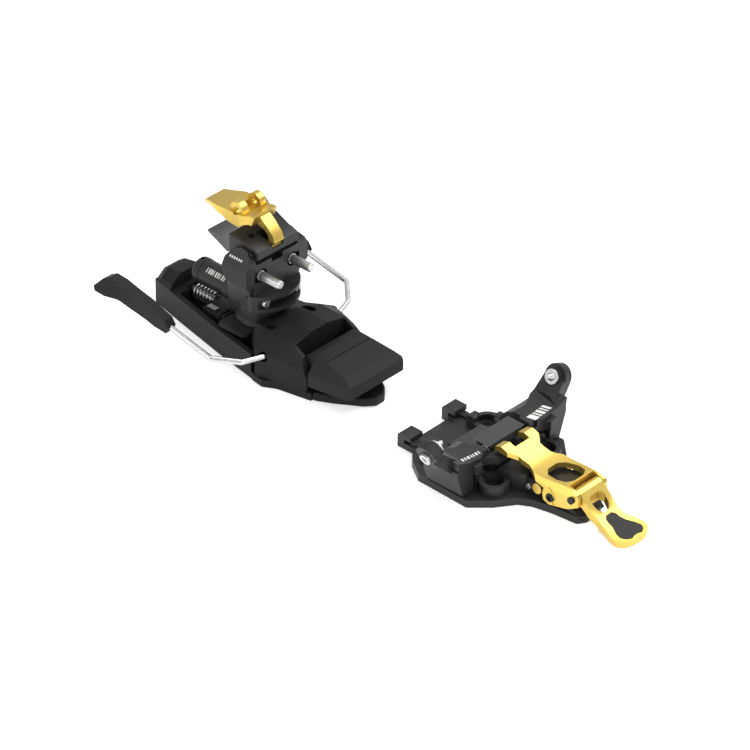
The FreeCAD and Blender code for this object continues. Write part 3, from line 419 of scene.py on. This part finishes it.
def paper():
    """White paper lit from behind as well, so that shadows on it stay faint."""
    mat, shader, node, link = surface("studio_paper")
    shader.inputs["Base Color"].default_value = (0.86, 0.86, 0.86, 1)
    shader.inputs["Roughness"].default_value = 0.9
    shader.inputs["Emission Color"].default_value = (1.0, 1.0, 1.0, 1)
    shader.inputs["Emission Strength"].default_value = 0.34
    return mat


def floor():
    mesh = bpy.data.meshes.new("studio_floor")
    half = FLOOR_HALF
    corners = [(-half, -half, 0), (half, -half, 0), (half, half, 0), (-half, half, 0)]
    mesh.from_pydata(corners, [], [(0, 1, 2, 3)])
    mesh.materials.append(paper())
    piece = bpy.data.objects.new("studio_floor", mesh)
    piece.location = (0, 0, CAD_LOW.z - FLOOR_DROP)
    bpy.context.scene.collection.objects.link(piece)


def aim(thing, target):
    thing.rotation_mode = "QUATERNION"
    thing.rotation_quaternion = (target - thing.location).to_track_quat("-Z", "Y")


def softbox(name, place, size, power, target):
    light = bpy.data.lights.new(name, "AREA")
    light.shape = "RECTANGLE"
    light.size, light.size_y = size
    light.energy = power
    lamp = bpy.data.objects.new(name, light)
    lamp.location = place
    bpy.context.scene.collection.objects.link(lamp)
    aim(lamp, target)


def studio():
    world = bpy.data.worlds.new("studio_air")
    bpy.context.scene.world = world
    world.use_nodes = True
    tree = world.node_tree
    air = tree.nodes["Background"]
    where = tree.nodes.new("ShaderNodeTexCoord")
    split = tree.nodes.new("ShaderNodeSeparateXYZ")
    fade = tree.nodes.new("ShaderNodeMapRange")
    for key, value in (("From Min", -0.1), ("From Max", 0.9), ("To Min", AIR_LOW), ("To Max", AIR_HIGH)):
        fade.inputs[key].default_value = value
    tree.links.new(where.outputs["Generated"], split.inputs["Vector"])
    tree.links.new(split.outputs["Z"], fade.inputs["Value"])
    tree.links.new(fade.outputs["Result"], air.inputs["Strength"])
    air.inputs["Color"].default_value = (1.0, 1.0, 1.0, 1)
    middle = LIT_MIDDLE
    softbox("key_softbox", middle + Vector((0.10, 0.55, 0.85)), (0.8, 0.8), 8.0, middle)
    softbox("front_softbox", middle + Vector((0.95, -0.25, 0.45)), (0.6, 0.6), 5.0, middle)
    softbox("side_softbox", middle + Vector((-0.35, -0.95, 0.55)), (0.8, 0.5), 4.0, middle)
    bpy.context.scene.view_settings.view_transform = "Standard"


def camera():
    """Seen from in front, to the skier's right and above, through a long lens."""
    azimuth, height, roll = (math.radians(a) for a in (CAMERA_AZIMUTH, CAMERA_HEIGHT, CAMERA_ROLL))
    right = Vector((math.sin(azimuth), math.cos(azimuth), 0))
    level = math.cos(height)
    back = Vector((math.cos(azimuth) * level, -math.sin(azimuth) * level, math.sin(height)))
    up = back.cross(right)
    middle = SEEN_MIDDLE - right * SHIFT_RIGHT - up * SHIFT_UP
    x_axis = right * math.cos(roll) + up * math.sin(roll)
    y_axis = up * math.cos(roll) - right * math.sin(roll)
    data = bpy.data.cameras.new("camera")
    data.sensor_width = 36.0
    data.lens = CAMERA_LENS
    data.clip_start, data.clip_end = 0.1, 30.0
    cam = bpy.data.objects.new("camera", data)
    turn = Matrix((x_axis, y_axis, back)).transposed().to_4x4()
    cam.matrix_world = Matrix.Translation(middle + back * CAMERA_DISTANCE) @ turn
    bpy.context.scene.collection.objects.link(cam)
    bpy.context.scene.camera = cam


floor()
studio()
camera()
